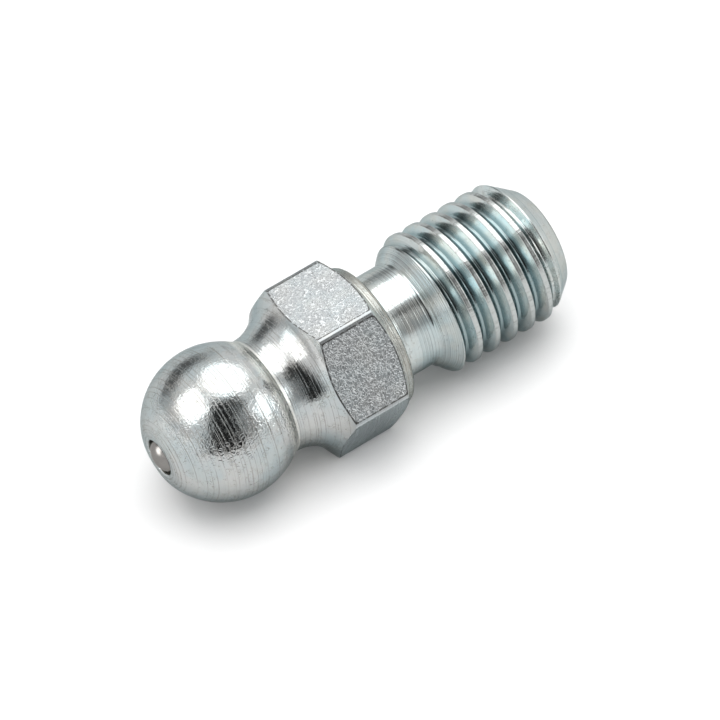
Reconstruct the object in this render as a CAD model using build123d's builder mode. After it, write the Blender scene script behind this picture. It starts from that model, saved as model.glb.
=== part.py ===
"""Ball-head grease nipple: turned body, check ball, valve spring and spring retainer.

The nipple lies on one flat of its hexagon. Its axis runs along X, with the ball head towards
-X and the thread towards +X, and Z = 0 is the surface that it lies on.
"""
import os
from math import acos, asin, ceil, cos, degrees, pi, radians, sin, sqrt, tan

from build123d import *

# ---------------------------------------------------------------- driving dimensions, mm
# Ball head that the grease coupler grips, flattened a little round the mouth at its tip
head_diameter = 6.70
tip_flat_diameter = 2.50
tip_edge_radius = 1.50
mouth_diameter = 1.64
mouth_edge_break = 0.03

# Neck behind the head: a short straight length, then one concave sweep up to the hexagon
neck_diameter = 5.28
neck_straight = 0.15
neck_sweep_radius = 2.00

# Hexagon, for a 7 mm spanner, and the collar that beds on the machine
hexagon_sides = 6
across_flats = 7.00
hexagon_length = 3.20
hexagon_edge_radius = 0.24
hexagon_chamfer_angle = 30.0
collar_diameter = 6.50
collar_length = 0.58
collar_rim_radius = 0.22

# Undercut between the collar and the thread
undercut_diameter = 4.77
undercut_length = 1.83
undercut_fillet_radius = 0.30
run_in_angle = 45.0
run_in_fillet_radius = 0.15

# Thread, 1/4 inch with 28 turns to the inch, right-handed
thread_diameter = 6.35
thread_pitch = 25.4 / 28
thread_length = 6.80
thread_angle = 60.0
crest_width = 0.20
root_radius = 0.14
groove_start_angle = 105.0
end_face_diameter = 4.50
end_chamfer_angle = 38.0
end_round_radius = 0.45

# Bore: outlet from the thread end, then the valve chamber behind the seat
outlet_diameter = 2.40
outlet_edge_break = 0.12
chamber_diameter = 2.08
chamber_length = 6.40
seat_half_angle = 30.0

# Check ball
ball_diameter = 1.90
ball_stands_proud = 0.24
seat_gap = 0.02

# Spring retainer, a ring pressed into the end of the chamber
retainer_length = 0.50
retainer_hole_diameter = 1.20
retainer_edge_break = 0.08

# Valve spring, closed and ground at both ends
wire_diameter = 0.22
spring_outside_diameter = 1.80
active_turns = 6
closed_turns = 1
closed_turn_gap = 0.02
ball_to_spring_gap = 0.02
retainer_to_spring_gap = 0.01

# ---------------------------------------------------------------- radii and places along the axis
head_radius = head_diameter / 2
tip_flat_radius = tip_flat_diameter / 2
neck_radius = neck_diameter / 2
mouth_radius = mouth_diameter / 2
ball_radius = ball_diameter / 2
thread_radius = thread_diameter / 2
undercut_radius = undercut_diameter / 2
collar_radius = collar_diameter / 2
chamber_radius = chamber_diameter / 2
outlet_radius = outlet_diameter / 2
end_face_radius = end_face_diameter / 2
flat_distance = across_flats / 2
corner_radius = flat_distance / cos(pi / hexagon_sides)
axis_height = flat_distance

tip_flat_angle = asin(tip_flat_radius / head_radius)
neck_angle = asin(neck_radius / head_radius)
sweep_angle_to_flat = acos(1 - (flat_distance - neck_radius) / neck_sweep_radius)
sweep_angle_to_corner = acos(1 - (corner_radius - neck_radius) / neck_sweep_radius)
tip_to_head_centre = head_radius * cos(tip_flat_angle)
head_to_neck = head_radius * cos(neck_angle)
neck_length = neck_straight + neck_sweep_radius * sin(sweep_angle_to_flat)
total_length = (
    ball_stands_proud + tip_to_head_centre + head_to_neck + neck_length
    + hexagon_length + collar_length + undercut_length + thread_length
)

ball_tip_x = -total_length / 2
mouth_x = ball_tip_x + ball_stands_proud
head_centre_x = mouth_x + tip_to_head_centre
neck_x = head_centre_x + head_to_neck
hexagon_start_x = neck_x + neck_length
hexagon_end_x = hexagon_start_x + hexagon_length
seat_face_x = hexagon_end_x + collar_length
thread_start_x = seat_face_x + undercut_length
end_face_x = thread_start_x + thread_length

chamfer_slope = tan(radians(hexagon_chamfer_angle))
chamfer_start_x = hexagon_end_x - (corner_radius - flat_distance) * chamfer_slope
collar_start_x = hexagon_end_x + (flat_distance - collar_radius) * chamfer_slope
run_in_end_x = thread_start_x + (thread_radius - undercut_radius) * tan(radians(run_in_angle))
end_chamfer_x = end_face_x - (thread_radius - end_face_radius) / tan(radians(end_chamfer_angle))

seat_slope = tan(radians(seat_half_angle))
ball_centre_x = ball_tip_x + ball_radius
seat_apex_x = ball_centre_x - (ball_radius + seat_gap) / sin(radians(seat_half_angle))
throat_end_x = seat_apex_x + mouth_radius / seat_slope
chamber_start_x = seat_apex_x + chamber_radius / seat_slope
chamber_end_x = chamber_start_x + chamber_length
retainer_face_x = chamber_end_x - retainer_length


def across_axis(x, start_angle=0.0):
    """Plane square to the axis at x. Its own X points at start_angle, from world Y towards Z."""
    turn = radians(start_angle)
    return Plane(origin=(x, 0, axis_height), x_dir=(0, cos(turn), sin(turn)), z_dir=(1, 0, 0))


def helix_round_axis(x, start_angle, radius, pitch, length):
    """Right-hand helix round the axis. It runs towards +X from x, where it is at start_angle."""
    upright = Helix(pitch=pitch, height=length, radius=radius)
    return across_axis(x, start_angle).location * upright


# Half section of the nipple: the plane's own X is the axis, and its own Y is the radius
half_section = Plane(origin=(0, 0, axis_height), x_dir=(1, 0, 0), z_dir=(0, -1, 0))
turning_axis = Axis((0, 0, axis_height), (1, 0, 0))

# ---------------------------------------------------------------- nipple body
# Section of the hexagon bar, its six edges slightly rounded
with BuildSketch() as hexagon_bar:
    RegularPolygon(radius=flat_distance, side_count=hexagon_sides, major_radius=False)
    fillet(hexagon_bar.vertices(), radius=hexagon_edge_radius)

# One turn of the thread groove: a V with a rounded root, swept along a right-hand helix. The
# first turn lies in the clear over the undercut, and the last one runs out past the end face.
groove_width = thread_pitch - crest_width
groove_flank = tan(radians(thread_angle / 2))
groove_overcut = crest_width / 4
groove_start_x = thread_start_x - thread_pitch
groove_turns = ceil(thread_length / thread_pitch) + 2
turn_path = helix_round_axis(
    groove_start_x, groove_start_angle, thread_radius, thread_pitch, thread_pitch
)
turn_outward = across_axis(groove_start_x, groove_start_angle).x_dir
turn_plane = Plane(
    origin=turn_path @ 0, x_dir=(1, 0, 0), z_dir=Vector(1, 0, 0).cross(turn_outward)
)

with BuildPart() as groove_turn:
    with BuildSketch(turn_plane) as groove_section:
        with BuildLine():
            Polyline(
                (-groove_width / 2 - groove_overcut * groove_flank, groove_overcut),
                (groove_width / 2 + groove_overcut * groove_flank, groove_overcut),
                (0, -groove_width / 2 / groove_flank),
                close=True,
            )
        make_face()
        fillet(groove_section.vertices().sort_by(Axis.Y)[0], radius=root_radius)
    sweep(path=turn_path, is_frenet=True)

with BuildPart() as nipple_body:
    # Blank as it leaves the lathe, bored through
    with BuildSketch(half_section) as turned:
        with BuildLine():
            head_arc = CenterArc(
                center=(head_centre_x, 0),
                radius=head_radius,
                start_angle=180 - degrees(tip_flat_angle),
                arc_size=degrees(tip_flat_angle + neck_angle) - 180,
            )
            neck_line = Line(head_arc @ 1, (neck_x + neck_straight, neck_radius))
            neck_arc = JernArc(
                start=neck_line @ 1,
                tangent=(1, 0),
                radius=neck_sweep_radius,
                arc_size=degrees(sweep_angle_to_corner),
            )
            Polyline(
                neck_arc @ 1,
                (chamfer_start_x, corner_radius),
                (collar_start_x, collar_radius),
                (seat_face_x, collar_radius),
                (seat_face_x, undercut_radius),
                (thread_start_x, undercut_radius),
                (run_in_end_x, thread_radius),
                (end_chamfer_x, thread_radius),
                (end_face_x, end_face_radius),
                (end_face_x, outlet_radius),
                (chamber_end_x, outlet_radius),
                (chamber_end_x, chamber_radius),
                (chamber_start_x, chamber_radius),
                (throat_end_x, mouth_radius),
                (mouth_x, mouth_radius),
                head_arc @ 0,
            )
        make_face()
        for x, radius, rounding in (
            (mouth_x, tip_flat_radius, tip_edge_radius),
            (seat_face_x, collar_radius, collar_rim_radius),
            (seat_face_x, undercut_radius, undercut_fillet_radius),
            (thread_start_x, undercut_radius, run_in_fillet_radius),
            (end_face_x, end_face_radius, end_round_radius),
        ):
            fillet(turned.vertices().sort_by_distance((x, radius))[0], radius=rounding)
        for x, radius, edge_break in (
            (end_face_x, outlet_radius, outlet_edge_break),
            (mouth_x, mouth_radius, mouth_edge_break),
        ):
            chamfer(turned.vertices().sort_by_distance((x, radius))[0], length=edge_break)
    revolve(axis=turning_axis)
    # The bar's six flats, left standing between the neck and the collar
    with BuildSketch(across_axis(neck_x)) as outside_bar:
        Circle(radius=corner_radius + hexagon_edge_radius)
        add(hexagon_bar.sketch, mode=Mode.SUBTRACT)
    extrude(amount=seat_face_x - neck_x, mode=Mode.SUBTRACT)
    for turn in range(groove_turns):
        with Locations((turn * thread_pitch, 0, 0)):
            add(groove_turn.part, mode=Mode.SUBTRACT)
nipple_body.part.label = "nipple_body"

# ---------------------------------------------------------------- check ball
with BuildPart() as check_ball:
    with Locations((ball_centre_x, 0, axis_height)):
        Sphere(radius=ball_radius)
check_ball.part.label = "check_ball"

# ---------------------------------------------------------------- spring retainer
with BuildPart() as spring_retainer:
    with BuildSketch(across_axis(retainer_face_x)):
        Circle(radius=chamber_radius)
        Circle(radius=retainer_hole_diameter / 2, mode=Mode.SUBTRACT)
    extrude(amount=retainer_length)
    ring_edges = spring_retainer.edges().filter_by(GeomType.CIRCLE)
    chamfer(ring_edges, length=retainer_edge_break)
spring_retainer.part.label = "spring_retainer"

# ---------------------------------------------------------------- valve spring
wire_radius = wire_diameter / 2
coil_radius = spring_outside_diameter / 2 - wire_radius
ball_to_coil = sqrt((ball_radius + wire_radius + ball_to_spring_gap) ** 2 - coil_radius**2)
spring_start_x = ball_centre_x + ball_to_coil - wire_radius / 2
spring_end_x = retainer_face_x - retainer_to_spring_gap
closed_pitch = wire_diameter + closed_turn_gap
closed_length = closed_turns * closed_pitch
active_start_x = spring_start_x + wire_radius / 2 + closed_length
active_end_x = spring_end_x - wire_radius / 2 - closed_length
active_length = active_end_x - active_start_x

closed_angle = 360 * closed_turns
active_angle = 360 * active_turns
coil_runs = (
    helix_round_axis(
        active_start_x - closed_length, -closed_angle, coil_radius, closed_pitch, closed_length
    ),
    helix_round_axis(active_start_x, 0, coil_radius, active_length / active_turns, active_length),
    helix_round_axis(active_end_x, active_angle, coil_radius, closed_pitch, closed_length),
)

with BuildPart() as valve_spring:
    for coil_run in coil_runs:
        with BuildSketch(Plane(origin=coil_run @ 0, z_dir=coil_run % 0)):
            Circle(radius=wire_radius)
        sweep(path=coil_run, is_frenet=True)
        with Locations(coil_run @ 0, coil_run @ 1):
            Sphere(radius=wire_radius)
    # Both ends ground flat
    for ground_x, away in ((spring_start_x, -wire_diameter), (spring_end_x, wire_diameter)):
        with BuildSketch(across_axis(ground_x)):
            Circle(radius=chamber_radius)
        extrude(amount=away, mode=Mode.SUBTRACT)
valve_spring.part.label = "valve_spring"

# ---------------------------------------------------------------- one STEP file for each piece
os.makedirs("parts", exist_ok=True)
for piece in (nipple_body, check_ball, spring_retainer, valve_spring):
    export_step(piece.part, f"parts/{piece.part.label}.step")
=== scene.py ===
"""Looks of the grease nipple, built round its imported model.

The nipple lies on one flat of its hexagon, with its axis along X and its ball head towards -X.
Sizes are in millimetres until a mesh is written. Blender's own units are metres.
"""
import logging
import math
from abc import ABC, abstractmethod
from collections.abc import Mapping, Sequence
from dataclasses import dataclass, field
from enum import Enum
from typing import Any

import bmesh
import bpy
import numpy as np
from mathutils import Matrix, Vector


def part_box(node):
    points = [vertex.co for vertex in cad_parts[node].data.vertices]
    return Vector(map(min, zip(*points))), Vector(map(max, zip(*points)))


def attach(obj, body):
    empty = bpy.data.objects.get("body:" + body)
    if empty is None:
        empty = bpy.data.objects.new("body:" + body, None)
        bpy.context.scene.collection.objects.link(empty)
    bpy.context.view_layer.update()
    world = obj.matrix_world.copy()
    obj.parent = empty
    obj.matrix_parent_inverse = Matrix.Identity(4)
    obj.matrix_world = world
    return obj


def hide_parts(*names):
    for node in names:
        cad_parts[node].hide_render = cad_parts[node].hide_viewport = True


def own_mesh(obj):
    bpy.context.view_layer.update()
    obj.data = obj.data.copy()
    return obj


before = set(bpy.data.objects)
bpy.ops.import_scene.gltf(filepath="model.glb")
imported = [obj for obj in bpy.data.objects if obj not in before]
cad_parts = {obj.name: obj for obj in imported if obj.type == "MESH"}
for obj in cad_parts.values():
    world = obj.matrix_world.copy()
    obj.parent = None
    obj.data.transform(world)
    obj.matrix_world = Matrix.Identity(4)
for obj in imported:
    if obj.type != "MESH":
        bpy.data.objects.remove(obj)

LOG = logging.getLogger("grease_nipple")

MM = 0.001
FULL_TURN = 2 * math.pi
IMAGE_PIXELS = 720

NOISE_MIDDLE = 0.5
NOISE_SPREAD = 0.25

Colour = tuple[float, float, float]
Triple = tuple[float, float, float]
Span = tuple[float, float]
Numbers = float | np.ndarray
Spot = tuple[Numbers, Numbers]


# ---------------------------------------------------------------- node trees as expressions
class Wire:
    """A node's output socket that takes part in Python arithmetic."""

    def __init__(self, board: "Board", socket: bpy.types.NodeSocket) -> None:
        """Keeps the board that new nodes go on, and the socket."""
        self.board = board
        self.socket = socket

    def __add__(self, other: "Wire | float") -> "Wire":
        """Self plus other."""
        return self.board.math("ADD", self, other)

    def __radd__(self, other: float) -> "Wire":
        """Other plus self."""
        return self.board.math("ADD", other, self)

    def __sub__(self, other: "Wire | float") -> "Wire":
        """Self less other."""
        return self.board.math("SUBTRACT", self, other)

    def __rsub__(self, other: float) -> "Wire":
        """Other less self."""
        return self.board.math("SUBTRACT", other, self)

    def __mul__(self, other: "Wire | float") -> "Wire":
        """Self times other."""
        return self.board.math("MULTIPLY", self, other)

    def __rmul__(self, other: float) -> "Wire":
        """Other times self."""
        return self.board.math("MULTIPLY", other, self)

    def __truediv__(self, other: "Wire | float") -> "Wire":
        """Self over other."""
        return self.board.math("DIVIDE", self, other)

    def __rtruediv__(self, other: float) -> "Wire":
        """Other over self."""
        return self.board.math("DIVIDE", other, self)

    def __pow__(self, other: float) -> "Wire":
        """Self to the power of other."""
        return self.board.math("POWER", self, other)

    def __abs__(self) -> "Wire":
        """Size of self without its sign."""
        return self.board.math("ABSOLUTE", self)

    def at_least(self, other: "Wire | float") -> "Wire":
        """The larger of self and other."""
        return self.board.math("MAXIMUM", self, other)

    def at_most(self, other: "Wire | float") -> "Wire":
        """The smaller of self and other."""
        return self.board.math("MINIMUM", self, other)

    def root(self) -> "Wire":
        """Square root of self."""
        return self.board.math("SQRT", self)

    def lifted(self, low: float) -> "Wire":
        """Self, which goes from 0 to 1, pressed together to go from low to 1."""
        return self * (1.0 - low) + low

    def step(self, low: float, high: float) -> "Wire":
        """Smooth step of self: 0 up to low, 1 from high on. It falls instead if low is above high.

        Args:
            low: Value at which the step is still 0.
            high: Value at which the step has reached 1.

        Returns:
            The stepped value, between 0 and 1.
        """
        rising = low < high
        sockets = {
            "Value": self,
            "From Min": low if rising else high,
            "From Max": high if rising else low,
            "To Min": 0.0 if rising else 1.0,
            "To Max": 1.0 if rising else 0.0,
        }
        return self.board.wire("ShaderNodeMapRange", {"interpolation_type": "SMOOTHSTEP"}, sockets)


class Board:
    """A node tree that is being wired: a material's, the world's or a Geometry Nodes group."""

    def __init__(self, tree: bpy.types.NodeTree) -> None:
        """Starts on a tree with no nodes."""
        self.tree = tree
        tree.nodes.clear()

    def node(
        self,
        kind: str,
        settings: Mapping[str, Any] | None = None,
        sockets: Mapping[str | int, Any] | None = None,
    ) -> bpy.types.Node:
        """Adds a node.

        Args:
            kind: Blender's name of the node's type.
            settings: The node's own properties, set before its sockets.
            sockets: Wires or plain values for its inputs, by name or by number.

        Returns:
            The new node.
        """
        made = self.tree.nodes.new(kind)
        for name, value in (settings or {}).items():
            setattr(made, name, value)
        for name, value in (sockets or {}).items():
            if isinstance(value, Wire):
                self.tree.links.new(value.socket, made.inputs[name])
            else:
                made.inputs[name].default_value = value
        return made

    def wire(
        self,
        kind: str,
        settings: Mapping[str, Any] | None = None,
        sockets: Mapping[str | int, Any] | None = None,
        output: str | int = 0,
    ) -> Wire:
        """Adds a node, and gives the wire from one of its outputs."""
        return Wire(self, self.node(kind, settings, sockets).outputs[output])

    def math(self, operation: str, *terms: Wire | float) -> Wire:
        """Adds a Math node on wires and numbers."""
        return self.wire("ShaderNodeMath", {"operation": operation}, dict(enumerate(terms)))

    def scaled(self, vector: Wire, scale: Sequence[float]) -> Wire:
        """A vector times a fixed scale along each axis."""
        sockets = {0: vector, 1: tuple(scale)}
        return self.wire("ShaderNodeVectorMath", {"operation": "MULTIPLY"}, sockets)

    def shifted(self, vector: Wire, shift: Wire | Sequence[float]) -> Wire:
        """A vector plus another one."""
        return self.wire("ShaderNodeVectorMath", {"operation": "ADD"}, {0: vector, 1: shift})

    def parts(self, vector: Wire) -> tuple[Wire, Wire, Wire]:
        """The x, y and z of a vector."""
        outputs = self.node("ShaderNodeSeparateXYZ", None, {0: vector}).outputs
        return Wire(self, outputs[0]), Wire(self, outputs[1]), Wire(self, outputs[2])

    def joined(self, x: Wire, y: Wire, z: Wire) -> Wire:
        """The vector of an x, a y and a z."""
        return self.wire("ShaderNodeCombineXYZ", None, {"X": x, "Y": y, "Z": z})

    def noise(self, vector: Wire, scale: float, detail: float = 2.0) -> Wire:
        """Noise that strays from its middle value, mostly by less than its spread.

        Args:
            vector: Place, in millimetres.
            scale: Features in a millimetre.
            detail: Octaves of finer noise on top.

        Returns:
            The noise.
        """
        sockets = {"Vector": vector, "Scale": scale, "Detail": detail}
        return self.wire("ShaderNodeTexNoise", None, sockets)

    def cells(self, vector: Wire, scale: float, feature: str, output: str = "Distance") -> Wire:
        """A Voronoi pattern, by the name of its feature and of its output."""
        sockets = {"Vector": vector, "Scale": scale}
        return self.wire("ShaderNodeTexVoronoi", {"feature": feature}, sockets, output)

    def bent(self, vector: Wire, scale: float, reach: float) -> Wire:
        """The vector pushed about by noise, so that a pattern on it isn't regular.

        Args:
            vector: Place, in millimetres.
            scale: Bends in a millimetre.
            reach: About how far a point is pushed, in millimetres.

        Returns:
            The pushed place.
        """
        sockets = {"Vector": vector, "Scale": scale, "Detail": 1.0}
        noise = self.wire("ShaderNodeTexNoise", None, sockets, "Color")
        push = self.scaled(self.shifted(noise, (-NOISE_MIDDLE,) * 3), (reach / NOISE_SPREAD,) * 3)
        return self.shifted(vector, push)

    def network(self, vector: Wire, scale: float, width: float) -> Wire:
        """Thin lines along the borders of cells, soft over half of their width.

        Args:
            vector: Place, in millimetres.
            scale: Cells in a millimetre.
            width: Width of a line, in millimetres.

        Returns:
            1 on a line and 0 off it.
        """
        far = self.cells(vector, scale, "DISTANCE_TO_EDGE")
        return far.step(width * scale * 0.75, width * scale * 0.25)

    def mix(self, factor: Wire | float, first: Wire | Colour, second: Wire | Colour) -> Wire:
        """Goes from the first colour to the second as the factor goes from 0 to 1.

        Args:
            factor: Share of the second colour.
            first: The colour at 0.
            second: The colour at 1.

        Returns:
            The mixed colour.
        """
        sockets = {
            0: factor,
            6: first if isinstance(first, Wire) else (*first, 1.0),
            7: second if isinstance(second, Wire) else (*second, 1.0),
        }
        return self.wire("ShaderNodeMix", {"data_type": "RGBA"}, sockets, 2)


class Rule:
    """A Geometry Nodes group with named inputs, which is run once and leaves a plain mesh."""

    def __init__(self, name: str, sizes: Mapping[str, float]) -> None:
        """Makes the group and its inputs.

        Args:
            name: The group's name.
            sizes: Each input's name and value.
        """
        self.sizes = dict(sizes)
        self.tree = bpy.data.node_groups.new(name, "GeometryNodeTree")
        self.tree.is_modifier = True
        face = self.tree.interface
        face.new_socket("Geometry", in_out="INPUT", socket_type="NodeSocketGeometry")
        face.new_socket("Geometry", in_out="OUTPUT", socket_type="NodeSocketGeometry")
        self.sockets = {
            size: face.new_socket(size, in_out="INPUT", socket_type="NodeSocketFloat")
            for size in self.sizes
        }
        self.board = Board(self.tree)
        self.entry = self.board.node("NodeGroupInput")

    def size(self, name: str) -> Wire:
        """The wire of one of the group's inputs."""
        return Wire(self.board, self.entry.outputs[name])

    def finish(self, geometry: Wire, material: bpy.types.Material, where: Wire | bool) -> None:
        """Ends the group: instances become real, and faces take their material.

        Args:
            geometry: What the group has made.
            material: Material of the faces chosen.
            where: Which faces take it.
        """
        real = self.board.wire("GeometryNodeRealizeInstances", None, {"Geometry": geometry})
        sockets = {"Geometry": real, "Selection": where, "Material": material}
        dressed = self.board.wire("GeometryNodeSetMaterial", None, sockets)
        self.board.node("NodeGroupOutput", None, {"Geometry": dressed})

    def run(self, piece: bpy.types.Object) -> None:
        """Puts the group's result in the piece's mesh, with normals weighted by area.

        Args:
            piece: The object that the group starts from. It has no modifier afterwards.
        """
        modifier = piece.modifiers.new(self.tree.name, "NODES")
        modifier.node_group = self.tree
        for name, socket in self.sockets.items():
            modifier[socket.identifier] = self.sizes[name]
        bake_modifiers(piece)


def bake_modifiers(piece: bpy.types.Object) -> None:
    """Turns what the piece's modifiers give into its plain mesh, and removes them.

    Args:
        piece: The object, which has no modifier afterwards.
    """
    piece.modifiers.new("normals", "WEIGHTED_NORMAL").keep_sharp = True
    graph = bpy.context.evaluated_depsgraph_get()
    mesh = bpy.data.meshes.new_from_object(
        piece.evaluated_get(graph), preserve_all_data_layers=True, depsgraph=graph
    )
    piece.modifiers.clear()
    piece.data = mesh


# ---------------------------------------------------------------- finishes
@dataclass(frozen=True)
class Metal:
    """What every metal finish here has: a colour and a sheen."""

    name: str
    colour: Colour
    roughness: float
    rim_tint: Colour = (0.80, 0.80, 0.80)
    wear_per_mm: float = 4.0
    wear_detail: float = 3.0
    wear_spread: float = 0.12

    def start(self) -> tuple[bpy.types.Material, Board, Wire]:
        """A new material, its board, and the place on the piece in millimetres.

        Returns:
            The three of them.
        """
        material = bpy.data.materials.new(self.name)
        material.use_nodes = True
        board = Board(material.node_tree)
        place = board.wire("ShaderNodeTexCoord", None, None, "Object")
        return material, board, board.scaled(place, (1 / MM,) * 3)

    def worn(self, place: Wire) -> Wire:
        """The roughness, a little different from place to place."""
        noise = place.board.noise(place, self.wear_per_mm, self.wear_detail)
        return self.roughness + (noise - NOISE_MIDDLE) * self.wear_spread

    def close(self, board: Board, colour: Wire, roughness: Wire, height: Wire) -> None:
        """Ends the material in a metal shader.

        Args:
            board: The material's board.
            colour: Colour of the surface.
            roughness: Its roughness.
            height: Its relief, in millimetres.
        """
        relief = board.wire("ShaderNodeBump", None, {"Distance": MM, "Height": height})
        sockets = {
            "Base Color": colour,
            "Metallic": 1.0,
            "Roughness": roughness,
            "Specular Tint": (*self.rim_tint, 1.0),
            "Normal": relief,
        }
        shader = board.wire("ShaderNodeBsdfPrincipled", None, sockets)
        board.node("ShaderNodeOutputMaterial", None, {"Surface": shader})


@dataclass(frozen=True)
class Mottle:
    """Patches with soft edges: noise, with so many features in a millimetre, cut at two levels."""

    per_mm: float
    cut: Span
    detail: float = 2.0
    shift: Triple = (0.0, 0.0, 0.0)

    def at(self, place: Wire) -> Wire:
        """1 inside the patches and 0 outside them."""
        place = place.board.shifted(place, self.shift)
        return place.board.noise(place, self.per_mm, self.detail).step(*self.cut)


@dataclass(frozen=True)
class Curls:
    """Thin curling lines, which run where a smooth noise passes its middle value.

    At a line's edges the noise differs from that value by the cut.
    """

    per_mm: float
    cut: float
    shift: Triple = (0.0, 0.0, 0.0)

    def at(self, place: Wire) -> Wire:
        """1 on the lines and 0 off them."""
        noise = place.board.noise(place.board.shifted(place, self.shift), self.per_mm, 0.0)
        return abs(noise - NOISE_MIDDLE).step(self.cut, 0.0)


@dataclass(frozen=True)
class Rings:
    """Marks that run round the axis: noise that depends on one distance only."""

    per_mm: float
    detail: float

    def at(self, along: Wire) -> Wire:
        """The noise at a distance."""
        sockets = {"W": along, "Scale": self.per_mm, "Detail": self.detail}
        return along.board.wire("ShaderNodeTexNoise", {"noise_dimensions": "1D"}, sockets)


class Coat:
    """A plating while it is wired: the place on the nipple, and the look so far.

    Its lowest layer, the turning, sets rings, scores and height. The height is in millimetres.
    """

    axis_height: float = 3.5
    rings: Wire
    scores: Wire
    height: Wire

    def __init__(self, place: Wire, plate: "ZincPlate") -> None:
        """Starts with the plating's plain colour.

        Args:
            place: Place on the nipple, in millimetres.
            plate: The plating.
        """
        self.board, self.place, self.plate = place.board, place, plate
        self.x, y, z = self.board.parts(place)
        self.z = z - self.axis_height
        self.radius = (y * y + self.z * self.z).root()
        self.colour: Wire | Colour = plate.colour
        self.roughness = plate.worn(place)

    def paint(self, share: Wire, colour: Colour) -> None:
        """Lays a colour on top, by its share at each place."""
        self.colour = self.board.mix(share, self.colour, colour)

    def emboss(self, relief: Wire) -> None:
        """Adds to the relief, in millimetres."""
        self.height = self.height + relief

    def roughen(self, more: Wire) -> None:
        """Adds to the roughness."""
        self.roughness = self.roughness + more


class Layer(ABC):
    """What a plating shows on top of its plain colour, one layer over another."""

    @abstractmethod
    def lay(self, coat: Coat) -> None:
        """Adds the layer to the coat."""


@dataclass(frozen=True)
class Turning(Layer):
    """The relief of turned steel under zinc: rings, scores, streaks, pebbles and worms."""

    spread_on_faces: float = 0.6
    coarse: Rings = Rings(5.0, 3.0)
    fine: Rings = Rings(17.0, 2.0)
    fine_share: float = 1.2
    score_rings: Rings = Rings(13.0, 1.0)
    score_cut: Span = (0.58, 0.65)
    score_patches: Mottle = Mottle(0.9, (0.36, 0.60))
    faintest_score: float = 0.4
    streaks_per_mm: float = 24.0
    streak_stretch: Triple = (1.0, 0.12, 0.12)
    streak_share: float = 0.8
    pebbles_per_mm: float = 8.0
    bends_per_mm: float = 6.0
    bend: float = 0.03
    worms: Curls = Curls(3.8, 0.10)
    fine_worms: Curls = Curls(5.6, 0.12, (7.0, 3.0, 1.0))
    worms_fade: Span = (2.6, 1.5)
    worms_on_top: float = 0.35

    def lay(self, coat: Coat) -> None:
        """Sets the coat's rings, its scores and its relief.

        Args:
            coat: The plating so far.
        """
        board, place, plate = coat.board, coat.place, coat.plate
        along = coat.x + coat.radius * self.spread_on_faces
        coat.rings = self.coarse.at(along) + self.fine.at(along) * self.fine_share
        strength = self.score_patches.at(place).lifted(self.faintest_score)
        coat.scores = self.score_rings.at(along).step(*self.score_cut) * strength
        streaks = board.noise(board.scaled(place, self.streak_stretch), self.streaks_per_mm)
        bent = board.bent(place, self.bends_per_mm, self.bend)
        pebbles = board.cells(bent, self.pebbles_per_mm, "SMOOTH_F1")
        worms = self.worms.at(place).at_least(self.fine_worms.at(place))
        worms = worms * coat.z.step(*self.worms_fade).lifted(self.worms_on_top)
        height = coat.rings * plate.ring_depth + streaks * (plate.ring_depth * self.streak_share)
        height = height + pebbles * plate.pebble_depth - coat.scores * plate.score_depth
        coat.height = height + worms * plate.worm_depth - coat.x * plate.lean


@dataclass(frozen=True)
class Staining(Layer):
    """Clouds of colour, dark cracks and dark scores."""

    clouds: Mottle = Mottle(0.7, (0.35, 0.65), 3.0)
    warm_clouds: Mottle = Mottle(0.9, (0.45, 0.62), shift=(9.0, 4.0, 2.0))
    cracks_per_mm: float = 8.0
    crack_width: float = 0.018
    crack_patches: Mottle = Mottle(3.4, (0.50, 0.60))
    bends_per_mm: float = 5.0
    bend: float = 0.05
    crack_darkness: float = 0.45
    crack_roughness: float = 0.3
    score_darkness: float = 60.0
    score_roughness: float = 0.08
    dirt: Colour = (0.24, 0.21, 0.17)

    def lay(self, coat: Coat) -> None:
        """Stains the coat, and makes its cracks and scores rougher.

        Args:
            coat: The plating so far.
        """
        board, place, plate = coat.board, coat.place, coat.plate
        bent = board.bent(place, self.bends_per_mm, self.bend)
        cracks = board.network(bent, self.cracks_per_mm, self.crack_width)
        cracks = cracks * self.crack_patches.at(place)
        coat.paint(self.clouds.at(place) * plate.tint_share, plate.tint)
        coat.paint(self.warm_clouds.at(place) * plate.warm_share, plate.warm)
        dark_cracks = cracks * (plate.crackle_share * self.crack_darkness)
        dark_scores = coat.scores * (plate.score_depth * self.score_darkness)
        coat.paint(dark_cracks.at_least(dark_scores), self.dirt)
        coat.roughen(cracks * (plate.crackle_share * self.crack_roughness))
        coat.roughen(coat.scores * self.score_roughness)


@dataclass(frozen=True)
class CreaseHighlightBand(Layer):
    """A matt band on both sides of the crease behind the head, painted a pale, near-white colour: a
    painted highlight.
    """

    crease_x: float = -4.3965
    rises: Span = (-0.62, -0.34)
    falls: Span = (0.14, 0.06)
    highlight_cream: Colour = (0.95, 0.93, 0.86)
    rougher: float = 0.30

    def lay(self, coat: Coat) -> None:
        """Paints the band as a painted highlight, and makes it rougher.

        Args:
            coat: The plating so far.
        """
        band = coat.x.step(self.crease_x + self.rises[0], self.crease_x + self.rises[1])
        band = band * coat.plate.crease_highlight_share
        band = band * coat.x.step(self.crease_x + self.falls[0], self.crease_x + self.falls[1])
        # Painted highlight: the band is painted a pale, near-white colour.
        coat.paint(band, self.highlight_cream)
        coat.roughen(band * self.rougher)


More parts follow.
